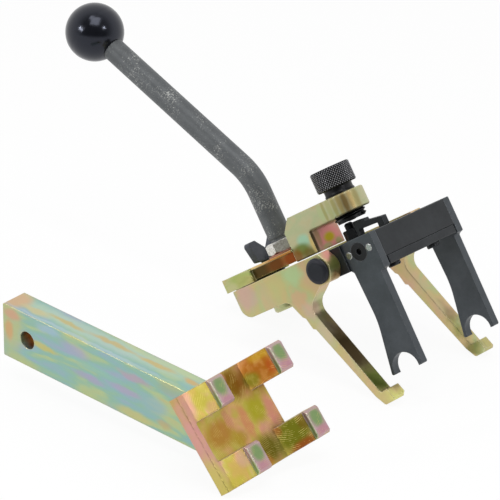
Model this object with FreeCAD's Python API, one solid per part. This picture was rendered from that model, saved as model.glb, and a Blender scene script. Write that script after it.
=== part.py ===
import FreeCAD, Part
import math
import os

from FreeCAD import Placement, Rotation, Vector

# Valve spring compressor: a hooked lever tool with a swinging fork frame, and the loose
# holding bar with a four-lug head that belongs to the set. Millimetres.
# The tool is drawn in its own axes: origin on the hook pivots at mid width, X towards the
# forks, Y across the tool, Z up from the beam to the thumb screw. All of it is then tipped
# onto its hook feet and clamp nut, as it lies on a table, with +Z up and the table at 0.

# Clearances shared by mating parts
running_gap = 0.05
side_gap = 0.3
screw_gap = 0.3

# Hooks
hook_span = 115.0
hook_plate = 11.0
hook_half_height = 10.0
hook_rear_x = -73.2
hook_corner = 8.0
hook_edge = 0.8
nose_reach = 11.0
nose_rise = 0.25
nose_chord = 5.0
nose_radius = 9.5
neck_x = -4.2
neck_rise = 0.5
throat_x = -19.4
throat_z = -19.2
throat_radius = 9.0
leg_lean = 20.4
shin_x = 5.4
shin_z = -86.0
calf_x = -21.8
calf_z = -33.4
scallop_width = 2.0
scallop_drop = 8.0
scallop_edge = 1.0
armpit_x = -33.8
armpit_radius = 6.5
foot_toe_x = 14.6
foot_toe_z = -91.1
foot_sole_x = 5.0
foot_sole_z = -94.4
foot_edge = 0.6
toe_rise = 6.0
toe_back = 2.3
heel_x = 0.3
heel_z = -87.2
heel_radius = 4.0
toe_step = 1.3
toe_flat = 6.4
toe_rim = 1.5
toe_cut_height = 20.0

# Pivot pins
pin_shaft = 12.0
pin_head = 17.0
pin_head_thick = 3.0
pin_reach = 14.0

# Fork beam and forks
beam_half_height = 9.0
beam_rear_x = -14.0
beam_front_x = 40.1
beam_round = 3.0
beam_edge = 0.8
fork_plate = 6.0
fork_face_y = 44.6
fork_rear_x = 14.1
fork_top_z = 9.2
fork_bottom_z = -79.8
fork_mouth_x = 22.1
fork_mouth_z = -78.3
fork_mouth_radius = 10.3
fork_prong_tip = 2.8
fork_edge = 0.8
fork_shoulder_x = 36.0
fork_shoulder_z = -16.2
fork_waist_x = 16.6
fork_waist_z = -44.5
fork_waist_radius = 60.0
fork_step = 1.5
fork_screw_x = 26.0
fork_screw_z = 0.5
fork_screw_head = 12.2
fork_screw_size = 6.0
fork_screw_length = 20.0
fork_socket = 4.0
dowel_size = 5.0
dowel_length = 16.0
dowel_pitch = 17.4
dowel_proud = 0.2

# Ledge under the beam
ledge_half_width = 37.0
ledge_thick = 5.5
ledge_rear_x = 20.0
ledge_screw_pitch = 44.0
ledge_screw_head = 8.5
ledge_screw_head_thick = 2.6
ledge_screw_size = 5.0
ledge_screw_length = 14.0

# Stop stud, its nut and the bridge strip on the beam
stop_x = -8.9
stud_size = 6.0
stud_top_z = 20.3
stud_depth = 11.0
stop_nut_flats = 10.0
stop_nut_thick = 6.8
bridge_width = 5.0
bridge_edge = 0.6
bridge_wall = 2.2
bridge_step_x = 6.8
bridge_end_x = 20.8
bridge_foot = 5.2
bridge_floor_z = 12.4
bridge_front_z = 15.3
bridge_middle_z = 16.9
bridge_rear_z = 18.5
bridge_top_z = 19.3

# Yoke between the hooks
yoke_top_z = 9.0
yoke_thick = 12.0
yoke_front_x = -44.0
tongue_rear_x = -106.0
tongue_half_width = 18.0
tongue_far_width = 24.0
yoke_inner_corner = 5.0
pad_length = 6.5

# Lever bar and C-block
bar_bottom_z = 10.4
bar_top_z = 19.6
bar_rear_x = -113.9
bar_block_front_x = -87.9
bar_half_width = 18.0
bar_far_width = 22.0
bar_core_half_width = 15.0
bar_lip_half_width = 16.5
bar_lip_thick = 1.5
bar_relief = 0.8
bar_front_x = -48.9
block_half_width = 15.0
block_web_front_x = -29.4
block_top_z = 39.3
block_arm_z = 26.0
block_back_chamfer = 7.4
tenon_length = 12.0
tenon_half_width = 8.0
tenon_half_height = 2.6

# Thumb screw
thumb_x = -4.3
thumb_thread = 22.0
thumb_head = 27.4
thumb_head_bottom_z = 44.2
thumb_head_top_z = 58.0
thumb_neck = 19.5
thumb_root = 20.6
thumb_root_height = 1.4
thumb_thread_short = 1.5
thumb_end_z = 20.9
thrust_pin_size = 6.0
thrust_pin_length = 4.0

# Lever rod, its nut and washer, and the ball
rod_size = 16.0
rod_x = -66.1
rod_shoulder_z = 30.5
rod_thread = 14.0
rod_bend_z = 74.5
rod_bend = 29.1
rod_bend_radius = 45.0
rod_reach = 153.9
rod_nut_flats = 21.0
rod_nut_thick = 7.8
rod_nut_turn = 6.0
rod_washer_size = 25.0
rod_washer_thick = 1.2
ball_size = 40.0
ball_face = 17.0
ball_thread = 10.0
ball_thread_length = 16.0

# Wing screw and clamp nut
wing_x = -93.0
wing_y = 12.8
wing_thread = 8.0
wing_span = 35.6
wing_thick = 4.6
wing_waist = 3.4
wing_ear = 8.0
wing_top_z = 35.4
wing_hub = 13.0
wing_hub_top_z = 25.5
wing_end_z = -15.2
wing_collar = 13.0
wing_collar_thick = 1.5
clamp_nut_size = 23.0
clamp_nut_chamfer = 1.2

# Loose holding bar with the four-lug head
holder_width = 18.2
holder_height = 37.2
holder_top_length = 163.4
holder_edge = 0.8
holder_bore = 12.0
holder_bore_from_end = 21.0
holder_yaw = -4.0
holder_dip = 2.1
holder_lean = 6.9
holder_x = -136.3
holder_y = -201.9
head_tilt = 48.0
head_left = 19.9
head_lowered = 0.36
head_length = 87.0
head_width = 63.4
head_base = 7.5
head_plate_length = 66.0
head_channel = 26.4
head_web = 3.8
head_floor = 5.0
lug_length = 11.0
lug_pitch = 53.2
lug_top = 14.0
lug_round = 1.0
lug_chamfer = 1.8
seat_start = 5.0
seat_end_height = 10.8
middle_length = 21.0
weld_leg = 3.0

parts = {}


def rounded_wire(corners, lift):
    """Closed outline through corners (a, b, radius), each rounded by a tangent arc."""
    count = len(corners)
    tangents = []
    for i in range(count):
        here = Vector(corners[i][0], corners[i][1], 0)
        before = Vector(*corners[i - 1][:2], 0) - here
        after = Vector(*corners[(i + 1) % count][:2], 0) - here
        half = before.getAngle(after) / 2
        radius = corners[i][2]
        if radius == 0:
            tangents.append((here, None, here))
            continue
        reach = radius / math.tan(half)
        before.normalize()
        after.normalize()
        middle = before + after
        middle.normalize()
        top = here + middle * (radius / math.sin(half) - radius)
        tangents.append((here + before * reach, top, here + after * reach))
    edges = []
    for i in range(count):
        start, top, end = tangents[i]
        if top is not None:
            edges.append(Part.Arc(lift(start), lift(top), lift(end)).toShape())
        following = tangents[(i + 1) % count][0]
        if end.distanceToPoint(following) > 1e-6:
            edges.append(Part.LineSegment(lift(end), lift(following)).toShape())
    return Part.Wire(edges)


def side_plate(corners, y_low, y_high):
    """Plate with its outline in X and Z, from y_low to y_high."""
    wire = rounded_wire(corners, lambda p: Vector(p.x, y_low, p.y))
    return Part.Face(wire).extrude(Vector(0, y_high - y_low, 0))


def end_plate(corners, x_low, x_high):
    """Plate with its outline in Y and Z, from x_low to x_high."""
    wire = rounded_wire(corners, lambda p: Vector(x_low, p.x, p.y))
    return Part.Face(wire).extrude(Vector(x_high - x_low, 0, 0))


def flat_plate(corners, z_low, z_high):
    """Plate with its outline in X and Y, from z_low to z_high."""
    wire = rounded_wire(corners, lambda p: Vector(p.x, p.y, z_low))
    return Part.Face(wire).extrude(Vector(0, 0, z_high - z_low))


def block(x_low, x_high, y_low, y_high, z_low, z_high):
    return Part.makeBox(x_high - x_low, y_high - y_low, z_high - z_low, Vector(x_low, y_low, z_low))


def upright(size, x, y, z_low, z_high):
    """Round bar along Z."""
    return Part.makeCylinder(size / 2, z_high - z_low, Vector(x, y, z_low))


def across(size, x, z, y_low, y_high):
    """Round bar along Y."""
    return Part.makeCylinder(size / 2, y_high - y_low, Vector(x, y_low, z), Vector(0, 1, 0))


def turned(profile, place, direction):
    """Solid turned from a (radius, height) profile about an axis through place."""
    points = [Vector(radius, 0, height) for radius, height in profile]
    solid = Part.Face(Part.makePolygon(points + points[:1])).revolve(Vector(0, 0, 0), Vector(0, 0, 1), 360)
    solid.Placement = Placement(place, Rotation(Vector(0, 0, 1), direction))
    return solid


def hexagon(flats, x, y, z_low, z_high, turn=0.0, chamfered_low=True):
    """Hexagon with two flats facing plus and minus X at no turn, its corners turned off."""
    corner = flats / math.sqrt(3)
    angles = [math.radians(30 + turn + 60 * i) for i in range(6)]
    corners = [(x + corner * math.cos(angle), y + corner * math.sin(angle), 0) for angle in angles]
    prism = flat_plate(corners, z_low, z_high)
    drop = (corner - flats / 2 * 0.96) * math.tan(math.radians(30))
    low = flats / 2 * 0.96 if chamfered_low else corner + 1
    low_height = z_low + drop if chamfered_low else z_low
    barrel = turned([(0, z_low), (low, z_low), (corner, low_height), (corner, z_high - drop),
                     (flats / 2 * 0.96, z_high), (0, z_high)], Vector(x, y, 0), Vector(0, 0, 1))
    return prism.common(barrel)


def mirrored(shape):
    """The same piece on the other side of the tool."""
    return shape.mirror(Vector(0, 0, 0), Vector(0, 1, 0))


hook_inner_y = hook_span / 2 - hook_plate
lean_down = Vector(math.sin(math.radians(leg_lean)), 0, -math.cos(math.radians(leg_lean)))
lean_forward = Vector(-lean_down.z, 0, lean_down.x)


def make_hook():
    """Front hook plate: a bar along the tool, a nose round the pivot and a leg with a foot."""
    low = -hook_half_height
    scallop_z = calf_z + hook_edge
    corners = [
        (hook_rear_x, hook_half_height, hook_edge),
        (nose_chord, hook_half_height, hook_edge),
        (nose_reach, nose_rise, nose_radius * 0.98),
        (nose_chord + foot_edge, low + neck_rise, nose_radius / 2),
        (neck_x, low + neck_rise, heel_radius / 2),
        (throat_x, throat_z, throat_radius),
        (shin_x, shin_z, toe_rim),
        (foot_toe_x - toe_back, foot_toe_z + toe_rise, foot_edge),
        (foot_toe_x, foot_toe_z, foot_edge),
        (foot_toe_x - toe_back, foot_sole_z + foot_edge, foot_edge),
        (foot_sole_x, foot_sole_z, heel_radius / 2),
        (heel_x, heel_z, heel_radius),
        (calf_x, calf_z, scallop_edge),
        (calf_x - scallop_width, scallop_z, scallop_edge),
        (calf_x - 2 * scallop_width, scallop_z + scallop_drop, scallop_edge),
        (calf_x - 3 * scallop_width, scallop_z + scallop_drop + 2 * hook_edge, scallop_edge),
        (armpit_x, low, armpit_radius),
        (hook_rear_x, low, hook_corner),
    ]
    hook = side_plate(corners, -hook_span / 2, -hook_inner_y)
    hook = hook.cut(across(pin_shaft, 0, 0, -hook_span / 2 - 1, -hook_inner_y + 1))
    toe = Vector(foot_toe_x, 0, foot_toe_z)
    ramp = hook_plate - toe_flat - toe_rim
    steps = [(-hook_span / 2 - 1, -toe_step), (-hook_span / 2 + toe_flat, -toe_step),
             (-hook_span / 2 + toe_flat + ramp, 0), (-hook_span / 2 + toe_flat + ramp, toe_rise),
             (-hook_span / 2 - 1, toe_rise)]
    start = toe - lean_down * toe_cut_height / 2
    points = [start + lean_forward * forward + Vector(0, y, 0) for y, forward in steps]
    cutter = Part.Face(Part.makePolygon(points + points[:1])).extrude(lean_down * toe_cut_height)
    return hook.cut(cutter)


parts["hook_front"] = make_hook()
parts["hook_rear"] = mirrored(parts["hook_front"])


def make_pivot_pin():
    """Headed pin pressed in the front hook; its shaft turns in the end of the beam."""
    head = pin_head / 2
    shaft = pin_shaft / 2
    length = hook_plate + side_gap + pin_reach
    profile = [(0, -pin_head_thick), (head - 2.4, -pin_head_thick), (head - 1.0, -pin_head_thick + 0.45),
               (head, -pin_head_thick + 1.4), (head, 0), (shaft, 0), (shaft, length - 0.8),
               (shaft - 0.8, length), (0, length)]
    return turned(profile, Vector(0, -hook_span / 2, 0), Vector(0, 1, 0))


parts["pivot_pin_front"] = make_pivot_pin()
parts["pivot_pin_rear"] = mirrored(parts["pivot_pin_front"])

beam_half_width = hook_inner_y - side_gap
fork_floor_y = fork_face_y - fork_plate
dowel_places = [fork_screw_x + side * dowel_pitch / 2 for side in (-1, 1)]
ledge_screw_x = (ledge_rear_x + beam_front_x) / 2


def make_beam():
    """Cross beam of the fork frame, stepped at both ends for the forks."""
    corners = [(beam_rear_x, -beam_half_height, beam_round), (beam_front_x, -beam_half_height, beam_edge),
               (beam_front_x, beam_half_height, beam_edge), (beam_rear_x, beam_half_height, beam_round)]
    beam = side_plate(corners, -beam_half_width, beam_half_width)
    for side in (-1, 1):
        inner, outer = sorted([side * fork_floor_y, side * (beam_half_width + 1)])
        beam = beam.cut(block(fork_rear_x, beam_front_x + 1, inner, outer, -20, 20))
        inner, outer = sorted([side * (beam_half_width - pin_reach - 0.6), side * (beam_half_width + 1)])
        beam = beam.cut(across(pin_shaft + 2 * running_gap, 0, 0, inner, outer))
        depth = fork_screw_length - fork_plate + 1
        inner, outer = sorted([side * (fork_floor_y - depth), side * (fork_floor_y + 1)])
        beam = beam.cut(across(fork_screw_size, fork_screw_x, fork_screw_z, inner, outer))
        depth = dowel_length + dowel_proud - fork_plate
        for place in dowel_places:
            inner, outer = sorted([side * (fork_floor_y - depth), side * (fork_floor_y + 1)])
            beam = beam.cut(across(dowel_size, place, fork_screw_z, inner, outer))
        beam = beam.cut(upright(ledge_screw_size, ledge_screw_x, side * ledge_screw_pitch / 2,
                                -beam_half_height - 1,
                                -beam_half_height + ledge_screw_length - ledge_thick + 0.5))
    return beam.cut(upright(stud_size, stop_x, 0, beam_half_height - stud_depth, beam_half_height + 1))


parts["fork_beam"] = make_beam()


def make_fork():
    """Front fork plate: a head in the beam's step and a leg that ends in a round mouth."""
    mouth = fork_mouth_radius
    tip = fork_bottom_z
    left = fork_mouth_x - mouth
    right = fork_mouth_x + mouth
    corners = [
        (fork_rear_x, fork_top_z, fork_edge),
        (beam_front_x, fork_top_z, fork_edge),
        (beam_front_x, fork_shoulder_z + fork_step, fork_edge),
        (fork_shoulder_x, fork_shoulder_z, fork_step),
        (right + fork_prong_tip, tip, fork_step * 0.8),
        (left - fork_prong_tip, tip, fork_step * 0.8),
        (fork_waist_x, fork_waist_z, fork_waist_radius),
        (fork_rear_x + fork_step, -fork_top_z - fork_step, fork_step),
        (fork_rear_x, -fork_top_z, fork_edge),
    ]
    fork = side_plate(corners, -fork_face_y, -fork_floor_y)
    fork = fork.cut(across(2 * mouth, fork_mouth_x, fork_mouth_z, -fork_face_y - 1, -fork_floor_y + 1))
    cone = (fork_screw_head - fork_screw_size) / 2
    seat = turned([(0, -1), (fork_screw_head / 2, -1), (fork_screw_head / 2, 0),
                   (fork_screw_size / 2 + 0.2, cone), (fork_screw_size / 2 + 0.2, fork_plate + 1),
                   (0, fork_plate + 1)],
                  Vector(fork_screw_x, -fork_face_y, fork_screw_z), Vector(0, 1, 0))
    fork = fork.cut(seat)
    for place in dowel_places:
        fork = fork.cut(across(dowel_size, place, fork_screw_z, -fork_face_y - 1, -fork_floor_y + 1))
    return fork


parts["fork_front"] = make_fork()
parts["fork_rear"] = mirrored(parts["fork_front"])


def make_fork_screw():
    """Countersunk screw with a hexagon socket, its head flush in the fork plate."""
    cone = (fork_screw_head - fork_screw_size) / 2
    screw = turned([(0, 0), (fork_screw_head / 2, 0), (fork_screw_size / 2, cone),
                    (fork_screw_size / 2, fork_screw_length), (0, fork_screw_length)],
                   Vector(fork_screw_x, -fork_face_y, fork_screw_z), Vector(0, 1, 0))
    corner = fork_socket / math.sqrt(3)
    points = [Vector(fork_screw_x + corner * math.cos(math.radians(60 * i)), -fork_face_y - 1,
                     fork_screw_z + corner * math.sin(math.radians(60 * i))) for i in range(6)]
    socket = Part.Face(Part.makePolygon(points + points[:1])).extrude(Vector(0, 3.6, 0))
    return screw.cut(socket)


def make_dowel(place):
    """Ground dowel pin, a little proud of the fork plate."""
    radius = dowel_size / 2
    return turned([(0, -dowel_proud), (radius - 0.4, -dowel_proud), (radius, 0.2),
                   (radius, dowel_length - dowel_proud - 0.3), (radius - 0.3, dowel_length - dowel_proud),
                   (0, dowel_length - dowel_proud)],
                  Vector(place, -fork_face_y, fork_screw_z), Vector(0, 1, 0))


front_screw = make_fork_screw()
front_dowels = [make_dowel(place) for place in dowel_places]
parts["fork_screws"] = Part.makeCompound([front_screw, mirrored(front_screw)])
parts["fork_dowels"] = Part.makeCompound(front_dowels + [mirrored(dowel) for dowel in front_dowels])

ledge_bottom_z = -beam_half_height - ledge_thick


def make_ledge():
    """Strip under the beam between the forks, held by two screws from below."""
    ledge = side_plate([(ledge_rear_x, -beam_half_height, 0), (beam_front_x, -beam_half_height, 0),
                        (beam_front_x, ledge_bottom_z, 1.2), (ledge_rear_x, ledge_bottom_z, 0.6)],
                       -ledge_half_width, ledge_half_width)
    for side in (-1, 1):
        ledge = ledge.cut(upright(ledge_screw_size + 0.4, ledge_screw_x, side * ledge_screw_pitch / 2,
                                  ledge_bottom_z - 1, -beam_half_height + 1))
    return ledge


def make_ledge_screw(y):
    """Cheese head screw up through the ledge into the beam."""
    head = ledge_screw_head / 2
    shank = ledge_screw_size / 2
    screw = turned([(0, -ledge_screw_head_thick), (head - 0.5, -ledge_screw_head_thick),
                    (head, -ledge_screw_head_thick + 0.5), (head, 0), (shank, 0),
                    (shank, ledge_screw_length), (0, ledge_screw_length)],
                   Vector(ledge_screw_x, y, ledge_bottom_z), Vector(0, 0, 1))
    slot_floor = ledge_bottom_z - ledge_screw_head_thick + 1.2
    return screw.cut(block(ledge_screw_x - head, ledge_screw_x + head, y - 0.6, y + 0.6,
                           slot_floor - 3, slot_floor))


parts["beam_ledge"] = make_ledge()
ledge_screw_places = [side * ledge_screw_pitch / 2 for side in (-1, 1)]
parts["ledge_screws"] = Part.makeCompound([make_ledge_screw(y) for y in ledge_screw_places])

stop_nut_top_z = beam_half_height + stop_nut_thick


def make_stud():
    """Stud screwed into the beam; the thumb screw comes down on its domed end."""
    radius = stud_size / 2
    return turned([(0, beam_half_height - stud_depth), (radius, beam_half_height - stud_depth),
                   (radius, stud_top_z - 1.0), (radius - 1.2, stud_top_z), (0, stud_top_z)],
                  Vector(stop_x, 0, 0), Vector(0, 0, 1))


parts["stop_stud"] = make_stud()
parts["stop_nut"] = hexagon(
    stop_nut_flats, stop_x, 0, beam_half_height, stop_nut_top_z, chamfered_low=False
).cut(upright(stud_size, stop_x, 0, beam_half_height - 1, stop_nut_top_z + 1))


def make_bridge():
    """Bent strip that stands on the beam in front of the nut, thick at its root."""
    foot = stop_x + stop_nut_flats / 2 + screw_gap
    corners = [
        (foot, beam_half_height, 0), (foot + bridge_wall, beam_half_height, bridge_edge),
        (foot + bridge_wall + bridge_edge, bridge_floor_z + bridge_edge, bridge_edge),
        (bridge_end_x - bridge_foot, bridge_floor_z, bridge_edge),
        (bridge_end_x - bridge_foot, beam_half_height, bridge_edge),
        (bridge_end_x, beam_half_height, bridge_edge), (bridge_end_x, bridge_front_z, bridge_edge),
        (bridge_step_x, bridge_middle_z, bridge_edge), (bridge_step_x, bridge_rear_z, bridge_edge),
        (foot + bridge_edge, bridge_top_z, bridge_edge), (foot, bridge_front_z, bridge_edge),
    ]
    return side_plate(corners, -bridge_width / 2, bridge_width / 2)


parts["stop_bridge"] = make_bridge()


def make_yoke():
    """Plate welded between the hooks, with a tongue back under the lever bar."""
    rear = hook_rear_x + 1.2
    corners = [
        (yoke_front_x, -hook_inner_y, 0), (yoke_front_x, hook_inner_y, 0), (rear, hook_inner_y, 0),
        (rear, tongue_far_width, yoke_inner_corner), (tongue_rear_x, tongue_far_width, 2.0),
        (tongue_rear_x, -tongue_half_width, 2.0), (rear, -tongue_half_width, yoke_inner_corner),
        (rear, -hook_inner_y, 0),
    ]
    yoke = flat_plate(corners, yoke_top_z - yoke_thick, yoke_top_z)
    return yoke.cut(upright(wing_thread + 2 * screw_gap, wing_x, wing_y, -20, 20))


parts["yoke_plate"] = make_yoke()
parts["yoke_pad"] = block(tongue_rear_x, tongue_rear_x + pad_length, -tongue_half_width + 1,
                          tongue_half_width - 1, yoke_top_z, bar_bottom_z)


def make_lever_bar():
    """Bar over the yoke: a wide rear block, a relieved middle under a thin lip, and a tenon."""
    wide = flat_plate([(bar_rear_x, -bar_half_width, 1.0), (bar_block_front_x, -bar_half_width, 0.6),
                       (bar_block_front_x, bar_far_width, 0.6), (bar_rear_x, bar_far_width, 1.0)],
                      bar_bottom_z, bar_top_z)
    core = block(bar_block_front_x - 1, bar_front_x, -bar_core_half_width, bar_core_half_width,
                 bar_bottom_z + bar_relief, bar_top_z - bar_lip_thick)
    lip = block(bar_block_front_x - 1, bar_front_x, -bar_lip_half_width, bar_lip_half_width,
                bar_top_z - bar_lip_thick, bar_top_z)
    middle_z = (bar_bottom_z + bar_top_z) / 2
    tenon = block(bar_front_x - 1, bar_front_x + tenon_length, -tenon_half_width, tenon_half_width,
                  middle_z - tenon_half_height, middle_z + tenon_half_height)
    bar = wide.fuse([core, lip, tenon]).removeSplitter()
    bar = bar.cut(upright(rod_thread, rod_x, 0, 0, bar_top_z + 1))
    bar = bar.cut(upright(wing_thread + 2 * screw_gap, wing_x, wing_y, 0, bar_top_z + 1))
    counterbore_top = yoke_top_z + 0.6 + wing_collar_thick + screw_gap
    return bar.cut(upright(wing_collar + 1.0, wing_x, wing_y, 0, counterbore_top))


parts["lever_bar"] = make_lever_bar()


def make_c_block():
    """Block on the bar's end; its arm reaches forward and carries the thumb screw."""
    corners = [
        (bar_front_x, bar_bottom_z, 0.8), (block_web_front_x, bar_bottom_z, 0.8),
        (block_web_front_x, block_arm_z, 2.0), (thumb_x, block_arm_z, 0),
        (thumb_x, block_top_z, 0), (bar_front_x + block_back_chamfer, block_top_z, 1.0),
        (bar_front_x, block_top_z - block_back_chamfer - 1, 1.0),
    ]
    shape = side_plate(corners, -block_half_width, block_half_width)
    boss = turned([(0, block_arm_z), (block_half_width - 0.8, block_arm_z),
                   (block_half_width, block_arm_z + 0.8), (block_half_width, block_top_z - 0.8),
                   (block_half_width - 0.8, block_top_z), (0, block_top_z)],
                  Vector(thumb_x, 0, 0), Vector(0, 0, 1))
    shape = shape.fuse(boss).removeSplitter()
    shape = shape.cut(upright(thumb_thread + 2 * running_gap, thumb_x, 0, block_arm_z - 1, block_top_z + 1))
    middle_z = (bar_bottom_z + bar_top_z) / 2
    return shape.cut(block(bar_front_x - 1, bar_front_x + tenon_length, -tenon_half_width, tenon_half_width,
                           middle_z - tenon_half_height, middle_z + tenon_half_height))


parts["c_block"] = make_c_block()


def make_thumb_screw():
    """Screw with a knurled drum head, a neck that flares to its root, and a socket for the thrust pin."""
    thread = thumb_thread / 2
    head = thumb_head / 2
    root = thumb_root / 2
    thread_top = block_top_z - thumb_thread_short
    root_top = block_top_z + thumb_root_height
    profile = [
        (0, thumb_end_z), (thread - 1.6, thumb_end_z), (thread, thumb_end_z + 1.6), (thread, thread_top),
        (root, thread_top + thread - root), (root, root_top),
        (thumb_neck / 2, root_top + root - thumb_neck / 2), (thumb_neck / 2, thumb_head_bottom_z),
        (head - 0.8, thumb_head_bottom_z), (head, thumb_head_bottom_z + 0.8),
        (head, thumb_head_top_z - 0.8), (head - 0.8, thumb_head_top_z), (0, thumb_head_top_z),
    ]
    screw = turned(profile, Vector(thumb_x, 0, 0), Vector(0, 0, 1))
    socket_top = thumb_end_z + thrust_pin_length - 0.3 + running_gap
    return screw.cut(upright(thrust_pin_size + 2 * running_gap, thumb_x, 0, thumb_end_z - 1, socket_top))


parts["thumb_screw"] = make_thumb_screw()
parts["thrust_pin"] = turned(
    [(0, 0), (thrust_pin_size / 2 - 1.0, 0), (thrust_pin_size / 2, 0.3),
     (thrust_pin_size / 2, thrust_pin_length), (0, thrust_pin_length)],
    Vector(thumb_x, 0, thumb_end_z - 0.3), Vector(0, 0, 1))


def make_rod():
    """Bent lever rod: threaded end in the bar, shoulder above the nut, spigot in the ball."""
    rod_top = Vector(-math.sin(math.radians(rod_bend)), 0, math.cos(math.radians(rod_bend)))
    corner = Vector(rod_x, 0, rod_bend_z)
    reach = rod_bend_radius * math.tan(math.radians(rod_bend) / 2)
    low = corner - Vector(0, 0, reach)
    high = corner + rod_top * reach
    centre = low + Vector(-rod_bend_radius, 0, 0)
    half = math.radians(rod_bend / 2)
    middle = centre + Vector(math.cos(half), 0, math.sin(half)) * rod_bend_radius
    seat = corner + rod_top * (rod_reach - ball_seat)
    start = Vector(rod_x, 0, rod_shoulder_z + 1.0)
    path = Part.Wire([Part.LineSegment(start, low).toShape(), Part.Arc(low, middle, high).toShape(),
                      Part.LineSegment(high, seat).toShape()])
    section = Part.Wire(Part.makeCircle(rod_size / 2, start, Vector(0, 0, 1)))
    rod = path.makePipeShell([section], True, False)
    foot = turned([(0, bar_bottom_z + bar_relief), (rod_thread / 2 - 1, bar_bottom_z + bar_relief),
                   (rod_thread / 2, bar_bottom_z + bar_relief + 1), (rod_thread / 2, rod_shoulder_z),
                   (rod_size / 2 - 0.6, rod_shoulder_z), (rod_size / 2, rod_shoulder_z + 1.0),
                   (0, rod_shoulder_z + 1.0)],
                  Vector(rod_x, 0, 0), Vector(0, 0, 1))
    spigot = Part.makeCylinder(ball_thread / 2, ball_thread_length, seat, rod_top)
    return rod.fuse([foot, spigot]).removeSplitter(), seat, rod_top


ball_seat = math.sqrt((ball_size / 2) ** 2 - (ball_face / 2) ** 2)
parts["lever_rod"], rod_seat, rod_direction = make_rod()


def make_ball():
    """Ball knob with a small flat face where it meets the rod and a blind tapped hole."""
    radius = ball_size / 2
    thread = ball_thread / 2
    hole_end = ball_thread_length + 0.5 - ball_seat
    rim = Vector(ball_face / 2, 0, -ball_seat)
    top = Vector(0, 0, radius)
    outline = [Part.LineSegment(Vector(0, 0, hole_end), Vector(thread, 0, hole_end)),
               Part.LineSegment(Vector(thread, 0, hole_end), Vector(thread, 0, -ball_seat)),
               Part.LineSegment(Vector(thread, 0, -ball_seat), rim),
               Part.Arc(rim, Vector(radius, 0, 0), top),
               Part.LineSegment(top, Vector(0, 0, hole_end))]
    face = Part.Face(Part.Wire([edge.toShape() for edge in outline]))
    ball = face.revolve(Vector(0, 0, 0), Vector(0, 0, 1), 360)
    middle = rod_seat + rod_direction * ball_seat
    ball.Placement = Placement(middle, Rotation(Vector(0, 0, 1), rod_direction))
    return ball


parts["ball_knob"] = make_ball()
washer_top_z = bar_top_z + rod_washer_thick
parts["rod_washer"] = upright(rod_washer_size, rod_x, 0, bar_top_z, washer_top_z).cut(
    upright(rod_thread + 0.6, rod_x, 0, bar_top_z - 1, washer_top_z + 1))
nut_top_z = washer_top_z + rod_nut_thick
parts["rod_lock_nut"] = hexagon(rod_nut_flats, rod_x, 0, washer_top_z, nut_top_z, rod_nut_turn).cut(
    upright(rod_thread, rod_x, 0, washer_top_z - 1, nut_top_z + 1))


def make_wing_screw():
    """Wing screw with two upright ears; its shank passes the bar and the yoke."""
    half = wing_span / 2
    seat = bar_top_z + 0.1
    corners = [
        (-wing_hub / 2 + 0.4, seat + 0.6, 0.5), (wing_hub / 2 - 0.4, seat + 0.6, 0.5),
        (half - wing_waist, seat + 1.6, 1.6), (half, wing_top_z, 2.6), (half - wing_ear, wing_top_z, 1.6),
        (0, wing_hub_top_z + 0.4, 3.0),
        (-half + wing_ear, wing_top_z, 1.6), (-half, wing_top_z, 2.6), (-half + wing_waist, seat + 1.6, 1.6),
    ]
    corners = [(wing_y + y, z, radius) for y, z, radius in corners]
    ears = end_plate(corners, wing_x - wing_thick / 2, wing_x + wing_thick / 2)
    shank = wing_thread / 2
    stem = turned([(0, wing_end_z), (shank - 0.8, wing_end_z), (shank, wing_end_z + 0.8), (shank, seat),
                   (wing_hub / 2, seat), (wing_hub / 2, seat + 1.6), (wing_hub / 2 - 1.8, wing_hub_top_z),
                   (0, wing_hub_top_z)],
                  Vector(wing_x, wing_y, 0), Vector(0, 0, 1))
    return stem.fuse(ears).removeSplitter()


parts["wing_screw"] = make_wing_screw()
collar_z = yoke_top_z + 0.5
parts["screw_collar"] = upright(wing_collar, wing_x, wing_y, collar_z, collar_z + wing_collar_thick).cut(
    upright(wing_thread, wing_x, wing_y, collar_z - 1, collar_z + wing_collar_thick + 1))
clamp_top_z = yoke_top_z - yoke_thick
parts["clamp_nut"] = turned(
    [(wing_thread / 2 + running_gap, wing_end_z), (clamp_nut_size / 2 - clamp_nut_chamfer, wing_end_z),
     (clamp_nut_size / 2, wing_end_z + clamp_nut_chamfer), (clamp_nut_size / 2, clamp_top_z),
     (wing_thread / 2 + running_gap, clamp_top_z)],
    Vector(wing_x, wing_y, 0), Vector(0, 0, 1))

# The tool is tipped about Y until the hook feet and the clamp nut's lower edge stand level.
nut_edge_x = wing_x - clamp_nut_size / 2 + clamp_nut_chamfer
tip = math.atan2(wing_end_z - foot_sole_z, foot_sole_x - nut_edge_x)
tool_turn = Placement(Vector(0, 0, 0), Rotation(Vector(0, 1, 0), -math.degrees(tip)))
for name in parts:
    parts[name].Placement = tool_turn.multiply(parts[name].Placement)

# The holding bar is drawn along X from its free end: X length, Y width, Z height, with its
# front top edge through the origin. The head's plate lies across its slanted end.
tilt = math.radians(head_tilt)
slant = holder_height / math.tan(tilt)
head_rise = (head_width * math.sin(tilt) - holder_height) / 2 - head_lowered


def make_holding_bar():
    """Flat bar on edge with a cross bore near its free end and a slanted far end."""
    bar = side_plate([(0, -holder_height, holder_edge), (0, 0, holder_edge),
                      (holder_top_length, 0, 0), (holder_top_length + slant, -holder_height, 0)],
                     0, holder_width)
    return bar.cut(across(holder_bore, holder_bore_from_end, -holder_height / 2, -1, holder_width + 1))


# The head is drawn flat: X along its arms, Y down its width, Z out of its face.
lug_starts = [head_length - lug_length - lug_pitch, head_length - lug_length]
arm_width = (head_width - head_channel) / 2


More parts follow.
